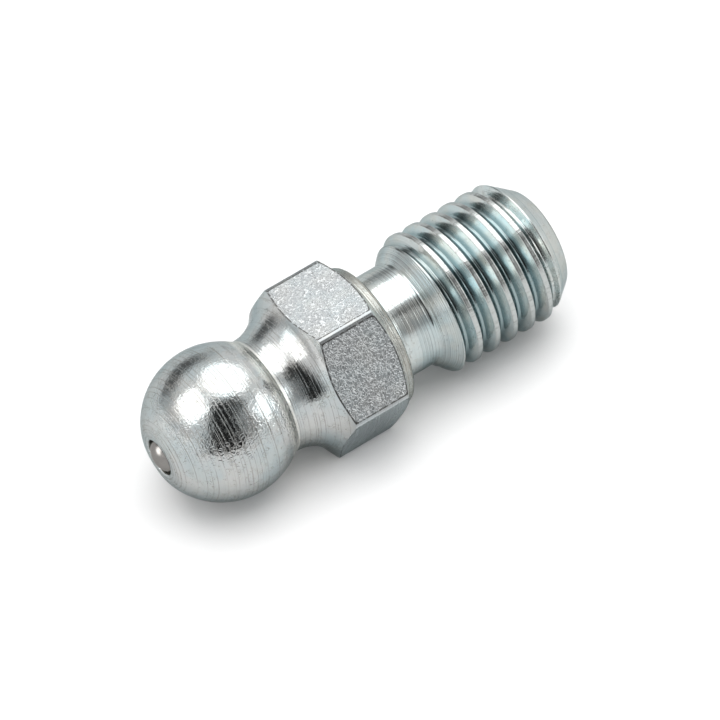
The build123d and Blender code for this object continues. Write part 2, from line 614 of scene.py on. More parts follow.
@dataclass(frozen=True)
class FlatGrain(Layer):
    """The drawn flats' curly grain, fainter on the lower ones, and their dark broken outline. The curls
    are painted lighter, as painted highlights, and the lower flats, which face the floor, are painted
    paler, as painted light.
    """

    starts: Span = (0.02, 0.08)
    lower_flats: Span = (-0.06, 0.06)
    lower_share: float = 0.3
    lower_flats_painted_light: Colour = (0.64, 0.68, 0.69)
    lower_flats_painted_light_share: float = 0.75
    curls: Curls = Curls(5.5, 0.060)
    bends_per_mm: float = 9.0
    bend: float = 0.02
    fine_curls: Curls = Curls(7.8, 0.072, (5.0, 2.0, 9.0))
    curl_highlight_colour: Colour = (0.66, 0.68, 0.685)
    curl_highlight_share: float = 0.70
    pits: Curls = Curls(6.6, 0.064, (1.0, 8.0, 4.0))
    pit_colour: Colour = (0.16, 0.165, 0.17)
    pit_share: float = 0.60
    outline_inner: Span = (0.06, 0.03)
    outline_outer: Span = (-0.02, 0.0)
    outline_breaks: Mottle = Mottle(7.0, (0.34, 0.46), 1.0)
    outline_colour: Colour = (0.04, 0.035, 0.03)
    outline_share: float = 0.85

    def lay(self, coat: Coat) -> None:
        """Embosses and paints the flats, by how far each point is from its flat's edge.

        Args:
            coat: The plating so far.
        """
        board, place = coat.board, coat.place
        edge = board.wire("ShaderNodeAttribute", {"attribute_name": "flat_edge"}, None, "Fac")
        inside = edge.step(*self.starts) * coat.z.step(*self.lower_flats).lifted(self.lower_share)
        curls = self.curls.at(board.bent(place, self.bends_per_mm, self.bend))
        curls = curls.at_least(self.fine_curls.at(place)) * inside
        coat.emboss(curls * coat.plate.grain_depth)
        coat.paint(self.pits.at(place) * inside * self.pit_share, self.pit_colour)
        # Painted highlight: the curls are painted lighter, on top of their real relief.
        coat.paint(curls * self.curl_highlight_share, self.curl_highlight_colour)
        # Painted light: the lower flats, which face the floor, are painted paler.
        lower = coat.z.step(*reversed(self.lower_flats))
        coat.paint(lower * self.lower_flats_painted_light_share, self.lower_flats_painted_light)
        outline = edge.step(*self.outline_inner) * edge.step(*self.outline_outer)
        outline = outline * self.outline_breaks.at(place)
        coat.paint(outline * self.outline_share, self.outline_colour)


@dataclass(frozen=True)
class ThreadMarks(Layer):
    """The thread's dull crests, painted shade that darkens its valleys, and the turned rings of its
    run-in.
    """

    crest_radius: float = 3.175
    crest_depths: Span = (0.06, 0.02)
    crest_colour: Colour = (0.54, 0.565, 0.555)
    marks_per_mm: float = 16.0
    mark_stretch: Triple = (0.10, 1.0, 1.0)
    mark_depth: float = 0.003
    mark_cut: Span = (0.54, 0.64)
    mark_colour: Colour = (0.25, 0.26, 0.25)
    mark_share: float = 0.55
    valley_depths: Span = (0.15, 0.40)
    valley_starts: Span = (3.2, 4.3)
    valley_shade_colour: Colour = (0.25, 0.335, 0.35)
    valley_shade_share: float = 0.80
    run_in_ends: Span = (4.3, 3.8)
    ring_depth: float = 0.004
    ring_cut: Span = (1.0, 1.35)
    ring_colour: Colour = (0.32, 0.35, 0.35)
    ring_share: float = 0.5
    score_colour: Colour = (0.20, 0.21, 0.20)
    score_share: float = 0.45

    def below_crest(self, coat: Coat, depths: Span) -> Wire:
        """Rises as the distance below the crests goes from the first depth to the second."""
        low, high = (self.crest_radius - depth for depth in depths)
        return coat.radius.step(low, high) * coat.plate.thread_share

    def lay(self, coat: Coat) -> None:
        """Embosses and paints the thread.

        Args:
            coat: The plating so far.
        """
        board = coat.board
        crest = self.below_crest(coat, self.crest_depths)
        marks = board.noise(board.scaled(coat.place, self.mark_stretch), self.marks_per_mm)
        coat.emboss(marks * crest * self.mark_depth)
        # Painted shade: the valleys are painted a darker teal below the crests.
        valley = self.below_crest(coat, self.valley_depths) * coat.x.step(*self.valley_starts)
        coat.paint(valley * self.valley_shade_share, self.valley_shade_colour)
        run_in = coat.x.step(*self.run_in_ends) * coat.plate.thread_share
        coat.emboss(coat.rings * run_in * self.ring_depth)
        coat.paint(coat.scores * run_in * self.score_share, self.score_colour)
        coat.paint(coat.rings.step(*self.ring_cut) * run_in * self.ring_share, self.ring_colour)
        coat.paint(crest, self.crest_colour)
        coat.paint(marks.step(*self.mark_cut) * crest * self.mark_share, self.mark_colour)


@dataclass(frozen=True)
class Specks(Layer):
    """Dark dots, at most one in each cell."""

    cells_per_mm: float = 3.6
    chosen_cut: Span = (0.40, 0.50)
    dot: Span = (0.11, 0.06)
    colour: Colour = (0.16, 0.13, 0.09)

    def lay(self, coat: Coat) -> None:
        """Paints a dot in the cells that are chosen.

        Args:
            coat: The plating so far.
        """
        board = coat.board
        random = board.cells(coat.place, self.cells_per_mm, "F1", "Color")
        chosen = board.wire("ShaderNodeSeparateColor", None, {0: random}).step(*self.chosen_cut)
        dots = board.cells(coat.place, self.cells_per_mm, "F1").step(*self.dot)
        coat.paint(dots * chosen * coat.plate.speck_share, self.colour)


@dataclass(frozen=True)
class ZincPlate(Metal):
    """Bright zinc plating on turned, drawn or rolled steel.

    Depths are in millimetres. A share says how strongly a mark shows. The lean tips the surface
    along the axis, so that it mirrors another place.
    """

    rim_tint: Colour = (0.52, 0.57, 0.58)
    tint: Colour = (0.43, 0.51, 0.53)
    tint_share: float = 0.6
    warm: Colour = (0.61, 0.59, 0.53)
    warm_share: float = 0.15
    ring_depth: float = 0.0022
    score_depth: float = 0.0050
    worm_depth: float = 0.0025
    pebble_depth: float = 0.0030
    crackle_share: float = 0.7
    speck_share: float = 0.7
    lean: float = 0.0
    grain_depth: float = 0.0
    thread_share: float = 0.0
    crease_highlight_share: float = 0.0

    def layers(self) -> list[Layer]:
        """The layers of this plating, from the bottom up.

        Returns:
            The two that each plating has, and those it asks for.
        """
        optional = (
            (self.crease_highlight_share, CreaseHighlightBand()),
            (self.grain_depth, FlatGrain()),
            (self.thread_share, ThreadMarks()),
            (self.speck_share, Specks()),
        )
        return [Turning(), Staining(), *(layer for amount, layer in optional if amount)]

    def material(self) -> bpy.types.Material:
        """Builds the finish.

        Returns:
            The material, which reads Object coordinates and the skin's flat_edge attribute.
        """
        material, board, place = self.start()
        coat = Coat(place, self)
        for layer in self.layers():
            layer.lay(coat)
        self.close(board, coat.colour, coat.roughness, coat.height)
        return material


@dataclass(frozen=True)
class PlainSteel(Metal):
    """Bare steel with fine marks: the check ball, the spring wire and the retainer."""

    wear_per_mm: float = 5.0
    wear_detail: float = 2.0
    wear_spread: float = 0.1
    marks_per_mm: float = 14.0
    mark_depth: float = 0.0004
    clouds: Mottle = Mottle(1.5, (0.35, 0.65))
    cloud_shade: float = 0.9

    def material(self) -> bpy.types.Material:
        """Builds the finish.

        Returns:
            The material, which reads Object coordinates.
        """
        material, board, place = self.start()
        height = board.noise(place, self.marks_per_mm, 3.0) * self.mark_depth
        darker = tuple(self.cloud_shade * part for part in self.colour)
        colour = board.mix(self.clouds.at(place), self.colour, darker)
        self.close(board, colour, self.worn(place), height)
        return material


class Finish(Enum):
    """The finishes of the nipple, by what made each surface."""

    HEAD = ZincPlate(
        "zinc_turned_head", (0.55, 0.56, 0.555), 0.11, ring_depth=0.0018, score_depth=0.0080,
        pebble_depth=0.0022, worm_depth=0.0052, crackle_share=0.8, speck_share=0.9, crease_highlight_share=0.55,
    )
    NECK = ZincPlate(
        "zinc_turned_neck", (0.55, 0.56, 0.555), 0.13, ring_depth=0.0035, score_depth=0.0060,
        worm_depth=0.0010, crease_highlight_share=0.55, lean=0.17,
    )
    FLATS = ZincPlate(
        "zinc_drawn_flats", (0.37, 0.385, 0.39), 0.24, tint_share=0.3, ring_depth=0.0, score_depth=0.0,
        worm_depth=0.0, pebble_depth=0.0, crackle_share=0.0, speck_share=0.3, grain_depth=0.006,
    )
    # Painted light: the chamfer is a much paler copy of the zinc, so that it shows as a bright band.
    CHAMFER = ZincPlate(
        "zinc_turned_chamfer", (0.88, 0.88, 0.85), 0.40, rim_tint=(0.97, 0.97, 0.95), warm_share=0.4,
        worm_depth=0.0008,
    )
    COLLAR = ZincPlate(
        "zinc_turned_collar", (0.40, 0.41, 0.385), 0.24, tint=(0.36, 0.40, 0.39), warm_share=0.25,
        ring_depth=0.0090, score_depth=0.0110, worm_depth=0.0005,
    )
    UNDERCUT = ZincPlate(
        "zinc_turned_undercut", (0.61, 0.645, 0.635), 0.14, tint=(0.54, 0.63, 0.64), warm_share=0.3,
        ring_depth=0.0014, score_depth=0.0025, worm_depth=0.0004, pebble_depth=0.0010,
    )
    THREAD = ZincPlate(
        "zinc_rolled_thread", (0.58, 0.625, 0.62), 0.15, tint=(0.45, 0.57, 0.595), warm_share=0.4,
        ring_depth=0.0004, score_depth=0.0, worm_depth=0.0003, pebble_depth=0.0006, crackle_share=0.3,
        thread_share=1.0,
    )
    END = ZincPlate(
        "zinc_turned_end", (0.60, 0.63, 0.62), 0.17, tint=(0.52, 0.58, 0.58), warm_share=0.4,
        ring_depth=0.0060, score_depth=0.0080, worm_depth=0.0006, pebble_depth=0.0010,
    )
    # Painted shade: the bore's walls are a dark copy of the zinc, for the shade inside the holes.
    BORE = ZincPlate("zinc_drilled_bore", (0.20, 0.19, 0.16), 0.35, score_depth=0.0, speck_share=0.0)
    BALL = PlainSteel("check_ball_steel", (0.265, 0.255, 0.243), 0.25, rim_tint=(0.70, 0.69, 0.68))
    SPRING = PlainSteel("spring_wire_steel", (0.25, 0.25, 0.24), 0.30)
    RETAINER = PlainSteel("retainer_steel", (0.30, 0.30, 0.30), 0.35)

    def material(self) -> bpy.types.Material:
        """The finish's Blender material, made when it is first asked for."""
        return bpy.data.materials.get(self.value.name) or self.value.material()


# ---------------------------------------------------------------- the nipple's body
@dataclass(frozen=True)
class HexagonBar:
    """The bar's hexagon, lying on a flat, with slightly rounded edges."""

    across_flats: float = 7.00
    edge_radius: float = 0.24
    sides: int = 6
    flat_cells: int = 26
    edge_cells: int = 4

    @property
    def apothem(self) -> float:
        """Distance from the axis to a flat."""
        return self.across_flats / 2

    @property
    def half_sector(self) -> float:
        """Half of the angle that one flat takes up."""
        return math.pi / self.sides

    @property
    def half_flat(self) -> float:
        """Half of a flat's width, between the roundings of its edges."""
        return (self.apothem - self.edge_radius) * math.tan(self.half_sector)

    def angles(self) -> np.ndarray:
        """Places of the skin's lengthwise lines round the axis.

        Returns:
            Angles in radians from +Y towards +Z, close together at the bar's edges.
        """
        flat_end = math.atan(self.half_flat / self.apothem)
        half_edge = np.linspace(flat_end, self.half_sector, self.edge_cells + 1)[1:]
        flat = np.linspace(-flat_end, flat_end, self.flat_cells + 1)
        sector = np.concatenate([-half_edge[-2::-1], flat, half_edge])
        turns = np.arange(self.sides) * 2 * self.half_sector + self.half_sector
        return (turns[:, None] + sector).ravel() % FULL_TURN

    def from_flat(self, angles: np.ndarray) -> np.ndarray:
        """Angle from the middle of the nearest flat."""
        return (angles % (2 * self.half_sector)) - self.half_sector

    def radius(self, angles: np.ndarray) -> np.ndarray:
        """Distance from the axis to the bar's surface at each angle.

        Args:
            angles: Angles round the axis, in radians.

        Returns:
            The distances.
        """
        turn = np.abs(self.from_flat(angles))
        flat = self.apothem / np.cos(turn)
        from_corner = self.half_sector - turn
        centre = (self.apothem - self.edge_radius) / math.cos(self.half_sector)
        across = np.minimum(centre * np.sin(from_corner), self.edge_radius)
        rounded = centre * np.cos(from_corner) + np.sqrt(self.edge_radius**2 - across**2)
        return np.where(self.apothem * np.tan(turn) < self.half_flat, flat, rounded)

    def inset(self, angles: np.ndarray) -> np.ndarray:
        """Distance along a flat from the nearest rounded edge, below 0 on the edge itself."""
        return self.half_flat - self.apothem * np.tan(np.abs(self.from_flat(angles)))


class HalfSection:
    """Rows of points along the nipple's half section, with one point a row in every column.

    The faces between two rows take the finish of the earlier row.
    """

    def __init__(self, columns: int) -> None:
        """Starts with no rows.

        Args:
            columns: Number of columns round the axis.
        """
        self.columns = columns
        self.rows: list[np.ndarray] = []
        self.finishes: list[Finish] = []
        self.finish = Finish.BORE

    def row(self, x: Numbers, radius: Numbers) -> None:
        """Adds a row at x and radius, each one number or one for every column.

        Args:
            x: Place along the axis.
            radius: Distance from it.
        """
        both = [np.broadcast_to(np.asarray(part, float), (self.columns,)) for part in (x, radius)]
        row = np.stack(both, axis=1)
        if self.rows and np.allclose(row, self.rows[-1], atol=1e-7):
            self.drop()
        self.rows.append(row)
        self.finishes.append(self.finish)

    def drop(self) -> None:
        """Takes the last row away."""
        self.rows.pop()
        self.finishes.pop()

    def refinish(self, finish: Finish) -> None:
        """Gives the faces after the last row another finish."""
        self.finishes[-1] = finish

    def arc(self, centre: Spot, radius: float, start: float, end: Numbers, cells: int) -> None:
        """Adds rows along an arc.

        Args:
            centre: Its centre's x and distance from the axis.
            radius: Its radius.
            start: Angle from +x at its start.
            end: Angle at its end, one number or one for every column.
            cells: Number of rows, less one.
        """
        for share in np.linspace(0, 1, cells + 1):
            turn = start + (end - start) * share
            self.row(centre[0] + radius * np.cos(turn), centre[1] + radius * np.sin(turn))

    def corner(self, before: Spot, at: Spot, after: Spot, radius: float, cells: int) -> None:
        """Adds rows round a corner, on the arc that touches both of its sides.

        Args:
            before: A point on the side that leads to the corner.
            at: The corner.
            after: A point on the side that leaves it.
            radius: The arc's radius.
            cells: Number of rows, less one.
        """
        ends = [
            np.stack(np.broadcast_arrays(*map(np.asarray, spot)), -1).astype(float)
            for spot in (before, at, after)
        ]
        sides = [ends[0] - ends[1], ends[2] - ends[1]]
        sides = [side / np.linalg.norm(side, axis=-1, keepdims=True) for side in sides]
        half_open = np.arccos(np.clip((sides[0] * sides[1]).sum(-1, keepdims=True), -1, 1)) / 2
        reach = radius / np.tan(half_open)
        first, last = (ends[1] + side * reach for side in sides)
        for share in np.linspace(0, 1, cells + 1):
            weights = (1 - share) ** 2, 2 * np.sin(half_open) * share * (1 - share), share**2
            spot = (weights[0] * first + weights[1] * ends[1] + weights[2] * last) / sum(weights)
            self.row(spot[..., 0], spot[..., 1])

    def run(self, x: Numbers, radius: Numbers, cells: int) -> None:
        """Adds rows straight from the last row to x and radius.

        Args:
            x: Place of the last new row.
            radius: Its distance from the axis.
            cells: Number of rows.
        """
        start = self.rows[-1]
        end = np.stack(np.broadcast_arrays(x, radius, start[:, 0])[:2], axis=1)
        for share in np.linspace(0, 1, cells + 1)[1:]:
            self.row(*(start + (end - start) * share).T)


@dataclass(frozen=True)
class ThreadGroove:
    """The V groove of the thread, 1/4 inch with 28 turns to the inch, right-handed.

    It is cut, and the thread's finish starts and ends, at places counted in pitches from its start.
    half_cells are the skin's cells from the groove's middle to its root's edge, up the flank, over
    the soft edge and along half of the crest.
    """

    pitch: float = 25.4 / 28
    crest_width: float = 0.20
    half_angle: float = math.radians(30)
    root_radius: float = 0.14
    start_angle: float = math.radians(105)
    softness: float = 0.035
    turns: int = 7
    cut_from: float = 0.25
    finish_from: float = 0.05
    finish_to: float = 6.85
    half_cells: tuple[int, ...] = (4, 4, 5, 1)

    @property
    def half_width(self) -> float:
        """Half of the groove's width at the crests."""
        return (self.pitch - self.crest_width) / 2

    def rows(self) -> np.ndarray:
        """Places of the skin's rows over one pitch, close together where the groove bends.

        Returns:
            Distances from the middle of one groove, up to the next.
        """
        root = self.root_radius * math.cos(self.half_angle)
        crest = self.half_width
        stops = (0.0, root, crest - self.softness, crest + self.softness, self.pitch / 2)
        half = np.concatenate([
            np.linspace(low, high, cells, endpoint=False)
            for low, high, cells in zip(stops, stops[1:], self.half_cells)
        ])
        return np.concatenate([half, [self.pitch / 2], self.pitch - half[:0:-1]])

    def rule(self, start_x: float, axis_height: float, radius: float, finish: Finish) -> Rule:
        """The Geometry Nodes group that sinks the groove into the skin along its helix.

        Args:
            start_x: Where the groove's middle crosses its start angle, in millimetres.
            axis_height: Height of the nipple's axis.
            radius: Radius of the thread's crests.
            finish: Finish of the thread.

        Returns:
            The group, ready to run.
        """
        rule = Rule("thread_groove", {
            "Pitch": self.pitch * MM,
            "Start": start_x * MM,
            "Start Angle": self.start_angle,
            "Axis Height": axis_height * MM,
            "Crest Radius": radius * MM,
            "Half Width": self.half_width * MM,
            "Root Radius": self.root_radius * MM,
            "Half Angle": self.half_angle,
            "Softness": self.softness * MM,
            "Cut From": self.cut_from,
            "Finish From": self.finish_from,
            "Finish To": self.finish_to,
        })
        board, size = rule.board, rule.size
        pitch, soft = size("Pitch"), size("Softness")

        x, y, z = board.parts(board.wire("GeometryNodeInputPosition"))
        z = z - size("Axis Height")
        skin_radius = (y * y + z * z).root()

        turn = (board.math("ARCTAN2", z, y) - size("Start Angle")) / FULL_TURN
        along = (x - size("Start")) / pitch - turn
        offset = abs(along - board.math("ROUND", along)) * pitch

        slope = board.math("TANGENT", size("Half Angle"))
        flank = size("Crest Radius") - (size("Half Width") - offset) / slope
        root_centre = size("Crest Radius") - size("Half Width") / slope
        root_centre = root_centre + size("Root Radius") / board.math("SINE", size("Half Angle"))
        root_drop = (size("Root Radius") ** 2 - offset * offset).at_least(0.0).root()
        in_root = board.math(
            "LESS_THAN", offset, size("Root Radius") * board.math("COSINE", size("Half Angle"))
        )
        groove = flank + in_root * (root_centre - root_drop - flank)

        # The smaller of the groove's radius and the skin's, rounded where they meet.
        near = (soft - abs(groove - skin_radius)).at_least(0.0)
        cut_radius = groove.at_most(skin_radius) - near * near / (soft * 4.0)
        scale = cut_radius / skin_radius

        sunk = board.joined(x, y * scale, z * scale + size("Axis Height"))
        past_start, past_run_in, past_thread = (
            board.math("GREATER_THAN", x, size("Start") + pitch * size(name))
            for name in ("Cut From", "Finish From", "Finish To")
        )
        sockets = {"Geometry": size("Geometry"), "Selection": past_start, "Position": sunk}
        cut = board.wire("GeometryNodeSetPosition", None, sockets)
        outside = board.math("GREATER_THAN", skin_radius, size("Crest Radius") / 2.0)
        rule.finish(cut, finish.material(), past_run_in * (1.0 - past_thread) * outside)
        return rule


@dataclass
class NippleBody:
    """The turned, plated body: ball head, neck, hexagon, collar, undercut and thread."""

    bar: HexagonBar = field(default_factory=HexagonBar)
    groove: ThreadGroove = field(default_factory=ThreadGroove)
    head_radius: float = 3.35
    tip_flat_radius: float = 1.25
    tip_edge_radius: float = 1.50
    mouth_radius: float = 0.82
    mouth_edge_break: float = 0.03
    crease_radius: float = 0.12
    neck_radius: float = 2.64
    neck_straight: float = 0.15
    neck_sweep_radius: float = 2.00
    chamfer_slope: float = math.tan(math.radians(30))
    edge_round: float = 0.03
    collar_radius: float = 3.25
    collar_length: float = 0.58
    collar_rim_radius: float = 0.22
    undercut_radius: float = 2.385
    undercut_length: float = 1.83
    undercut_fillet: float = 0.30
    thread_radius: float = 3.175
    thread_length: float = 6.80
    run_in_fillet: float = 0.15
    run_in_slope: float = math.tan(math.radians(45))
    crest_round: float = 0.12
    end_face_radius: float = 2.25
    end_chamfer_slope: float = math.tan(math.radians(38))
    end_round: float = 0.45
    outlet_radius: float = 1.20
    outlet_edge_break: float = 0.12
    chamber_radius: float = 1.04
    chamber_length: float = 6.40
    seat_slope: float = math.tan(math.radians(30))
    throat_length: float = 0.1905
    flat_insets: tuple[float, ...] = (0.03, 0.07, 0.13, 0.25)
    end_chamfer_rows: int = 17

    axis_height: float = field(init=False)
    mouth_x: float = field(init=False)
    head_x: float = field(init=False)
    neck_x: float = field(init=False)
    sweep_x: float = field(init=False)
    hexagon_end_x: float = field(init=False)
    seat_face_x: float = field(init=False)
    strip_x: float = field(init=False)
    groove_x: float = field(init=False)
    thread_x: float = field(init=False)
    end_x: float = field(init=False)

    def __post_init__(self) -> None:
        """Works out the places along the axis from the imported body's own box."""
        low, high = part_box("nipple_body")
        self.axis_height = (low.z + high.z) / 2 / MM
        self.mouth_x = low.x / MM
        self.end_x = high.x / MM
        self.head_x = self.mouth_x + math.sqrt(self.head_radius**2 - self.tip_flat_radius**2)
        self.neck_x = self.head_x + math.sqrt(self.head_radius**2 - self.neck_radius**2)
        self.sweep_x = self.neck_x + self.neck_straight
        self.thread_x = self.end_x - self.thread_length
        self.seat_face_x = self.thread_x - self.undercut_length
        self.hexagon_end_x = self.seat_face_x - self.collar_length
        self.groove_x = self.thread_x - self.groove.pitch
        self.strip_x = self.groove_x - self.groove.pitch * self.groove.start_angle / FULL_TURN

    def chamfer_x(self, radius: Numbers) -> Numbers:
        """Place along the axis where the hexagon's chamfer has a radius."""
        return self.hexagon_end_x + (self.bar.apothem - radius) * self.chamfer_slope

    def head(self, section: HalfSection) -> None:
        """Rows of the mouth, the tip and the ball.

        Args:
            section: The half section.
        """
        section.finish = Finish.HEAD
        section.row(self.mouth_x + self.mouth_edge_break, self.mouth_radius)
        section.row(self.mouth_x, self.mouth_radius + self.mouth_edge_break)
        inner = self.head_radius - self.tip_edge_radius
        tip_x = self.mouth_x + self.tip_edge_radius
        tip_centre = (tip_x, math.sqrt(inner**2 - (self.head_x - tip_x) ** 2))
        tip_turn = math.atan2(tip_centre[1], tip_x - self.head_x)
        section.arc(tip_centre, self.tip_edge_radius, math.pi, tip_turn, cells=9)
        crease_turn = math.asin(self.neck_radius / self.head_radius)
        reach = self.crease_radius / 2 / self.head_radius
        section.arc((self.head_x, 0.0), self.head_radius, tip_turn, crease_turn + reach, cells=44)
        before = section.rows[-1][0]
        section.finish = Finish.NECK
        section.drop()
        crease, after = (self.neck_x, self.neck_radius), (self.sweep_x, self.neck_radius)
        section.corner(tuple(before), crease, after, self.crease_radius, cells=6)

    def neck(self, section: HalfSection, bar_radius: np.ndarray) -> None:
        """Rows of the neck's sweep, up to where it meets the bar.

        Args:
            section: The half section.
            bar_radius: The bar's radius in each column.
        """
        turn = np.arccos(1 - (bar_radius - self.neck_radius) / self.neck_sweep_radius)
        centre = (self.sweep_x, self.neck_radius + self.neck_sweep_radius)
        reach = self.edge_round * np.tan(turn / 2) / self.neck_sweep_radius
        down = -math.pi / 2
        section.arc(centre, self.neck_sweep_radius, down, turn + down - reach, cells=24)
        edge_x = self.sweep_x + self.neck_sweep_radius * np.sin(turn)
        before = (edge_x - np.cos(turn), bar_radius - np.sin(turn))
        section.drop()
        section.finish = Finish.FLATS
        edge, after = (edge_x, bar_radius), (edge_x + 1, bar_radius)
        section.corner(before, edge, after, self.edge_round, cells=5)

    def flat_end(self, bar_radius: np.ndarray) -> np.ndarray:
        """Place in each column where the flats end, before the rounding at the chamfer."""
        turn = math.pi / 2 - math.atan(self.chamfer_slope)
        return self.chamfer_x(bar_radius) - self.edge_round * math.tan(turn / 2)

    def hexagon(self, section: HalfSection, bar_radius: np.ndarray) -> None:
        """Rows of the flats, the chamfer and the collar.

        Args:
            section: The half section.
            bar_radius: The bar's radius in each column.
        """
        start_x = section.rows[-1][:, 0]
        chamfer_x = self.chamfer_x(bar_radius)
        flat_end_x = self.flat_end(bar_radius)
        for inset in self.flat_insets:
            section.row(start_x + inset, bar_radius)
        section.run((start_x + flat_end_x) / 2, bar_radius, cells=2)
        section.run(flat_end_x - self.flat_insets[-1], bar_radius, cells=2)
        for inset in self.flat_insets[-2::-1]:
            section.row(flat_end_x - inset, bar_radius)
        before, edge = (chamfer_x - 1, bar_radius), (chamfer_x, bar_radius)
        foot = (self.chamfer_x(self.collar_radius), self.collar_radius)
        section.corner(before, edge, foot, self.edge_round, cells=5)
        section.refinish(Finish.CHAMFER)
        section.finish = Finish.COLLAR
        rim = (self.seat_face_x, self.collar_radius)
        root = (self.seat_face_x, self.undercut_radius)
        section.corner(edge, foot, rim, self.edge_round, cells=4)
        section.corner(foot, rim, root, self.collar_rim_radius, cells=8)
        section.finish = Finish.UNDERCUT
        after = (self.strip_x, self.undercut_radius)
        section.corner(rim, root, after, self.undercut_fillet, cells=8)
        section.row(*after)

    def crest_line(self) -> tuple[np.ndarray, np.ndarray]:
        """The thread's outside before its groove is cut.

        Returns:
            Places along the axis, and the radius at each.
        """
        line = HalfSection(1)
        run_in_end_x = self.thread_x + (self.thread_radius - self.undercut_radius) * self.run_in_slope
        drop = self.thread_radius - self.end_face_radius
        chamfer_x = self.end_x - drop / self.end_chamfer_slope
        stops = [
            (self.strip_x, self.undercut_radius),
            (self.thread_x, self.undercut_radius),
            (run_in_end_x, self.thread_radius),
            (chamfer_x, self.thread_radius),
            (self.end_x, self.end_face_radius),
        ]
        line.row(*stops[0])
        roundings = (self.run_in_fillet, self.crest_round, self.crest_round)
        for before, at, after, rounding in zip(stops, stops[1:], stops[2:], roundings):
            line.corner(before, at, after, rounding, cells=12)
        line.row(*stops[-1])
        points = np.concatenate(line.rows)
        return points[:, 0], points[:, 1]

    def thread(self, section: HalfSection, share: np.ndarray) -> None:
        """Rows that follow the thread's helix, between a ring at its start and one at its end.

        Args:
            section: The half section.
            share: Each column's angle round the axis, in turns.
        """
        line = self.crest_line()
        rows, pitch = self.groove.rows(), self.groove.pitch
        last_x = self.strip_x + self.groove.turns * pitch
        places = [self.strip_x + row * share for row in rows[1:-1]]
        for turn in range(self.groove.turns):
            places += [self.strip_x + turn * pitch + row + pitch * share for row in rows[:-1]]
        places += [last_x + pitch * share + row * (1 - share) for row in rows[:-1]]
        for x in places:
            section.row(x, np.interp(x, *line))
        section.finish = Finish.THREAD
        section.row(last_x + pitch, np.interp(last_x + pitch, *line))

    def end(self, section: HalfSection) -> None:
        """Rows past the last full turn: the end chamfer, the end face and the bore.

        Args:
            section: The half section.
        """
        section.finish = Finish.END
        line = self.crest_line()
        before = (line[0][-2], line[1][-2])
        rim = (self.end_x, self.end_face_radius)
        slope = math.atan(self.end_chamfer_slope)
        reach = self.end_round * math.tan((math.pi / 2 - slope) / 2) * math.cos(slope)
        first_x = section.rows[-1][0, 0]
        for x in np.linspace(first_x, self.end_x - reach, self.end_chamfer_rows + 2)[1:-1]:
            section.row(x, np.interp(x, *line))
        section.corner(before, rim, (self.end_x, self.outlet_radius), self.end_round, cells=10)
        section.row(self.end_x, self.outlet_radius + self.outlet_edge_break)
        section.finish = Finish.BORE
        section.row(self.end_x - self.outlet_edge_break, self.outlet_radius)
        seat_end_x = self.mouth_x + self.throat_length
        chamber_x = seat_end_x + (self.chamber_radius - self.mouth_radius) / self.seat_slope
        chamber_end_x = chamber_x + self.chamber_length
        section.run(chamber_end_x, self.outlet_radius, cells=6)
        section.row(chamber_end_x, self.chamber_radius)
        section.run(chamber_x, self.chamber_radius, cells=4)
        section.row(seat_end_x, self.mouth_radius)

    def stitched(self, rows: int, columns: int, first: int) -> np.ndarray:
        """Numbers of the skin's points, with a last column that closes each row.

        A row of the helical strip closes on the row one turn later. The strip's first turn starts
        from one point, and its last turn ends in one.

        Args:
            rows: Number of rows.
            columns: Number of columns.
            first: Row of the ring that the strip starts from.

        Returns:
            The numbers, by row and column.
        """
        per_turn = len(self.groove.rows()) - 1
        last = first + (self.groove.turns + 2) * per_turn
        index = np.arange(rows * columns).reshape(rows, columns)
        index = np.concatenate([index, index[:, :1]], axis=1)
        index[first + 1:first + per_turn, 0] = index[first, 0]
        index[first + 1:last - per_turn, -1] = index[first + 1 + per_turn:last, 0]
        index[last - per_turn:last, -1] = index[last, 0]
        return index

    def skin(self) -> bpy.types.Mesh:
        """Builds the body's skin: rings, and a strip of rows that follows the thread's helix.

        Returns:
            The skin's mesh, before its groove is cut.
        """
        angles = np.sort(self.bar.angles())
        bar_radius = self.bar.radius(angles)
        section = HalfSection(len(angles))
        self.head(section)
        self.neck(section, bar_radius)
        start_x = section.rows[-1][:, 0]
        self.hexagon(section, bar_radius)
        first = len(section.rows) - 1
        self.thread(section, angles / FULL_TURN)
        self.end(section)
        index = self.stitched(len(section.rows), len(angles), first)

        x, radius = np.moveaxis(np.stack(section.rows), -1, 0)
        place = [x, radius * np.cos(angles), radius * np.sin(angles) + self.axis_height]
        edge = np.full(x.shape, -1.0)
        flats = [row for row, finish in enumerate(section.finishes) if finish is Finish.FLATS]
        ends = np.minimum(x[flats] - start_x, self.flat_end(bar_radius) - x[flats])
        edge[flats] = np.minimum(ends, self.bar.inset(angles))

        faces: list[tuple[int, ...]] = []
        slots: list[int] = []
        kinds = list(dict.fromkeys(section.finishes))
        for here, after, finish in zip(index, np.roll(index, -1, axis=0), section.finishes):
            row = faces_between(here, after)
            faces += row
            slots += [kinds.index(finish)] * len(row)

        mesh = bpy.data.meshes.new("nipple_body_skin")
        mesh.from_pydata((np.stack(place, axis=-1).reshape(-1, 3) * MM).tolist(), [], faces)
        for kind in kinds:
            mesh.materials.append(kind.material())
        mesh.polygons.foreach_set("material_index", slots)
        mesh.attributes.new("flat_edge", "FLOAT", "POINT").data.foreach_set("value", edge.ravel())
        return mesh

    def build(self) -> bpy.types.Object:
        """Builds the skin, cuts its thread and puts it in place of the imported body.

        Returns:
            The dressed body.
        """
        mesh = self.skin()
        drop_loose(mesh)
        mesh.shade_smooth()
        piece = place_piece("nipple_body_skin", mesh)
        rule = self.groove.rule(self.groove_x, self.axis_height, self.thread_radius, Finish.THREAD)
        rule.run(piece)
        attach(piece, "nipple")
        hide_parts("nipple_body")
        return piece


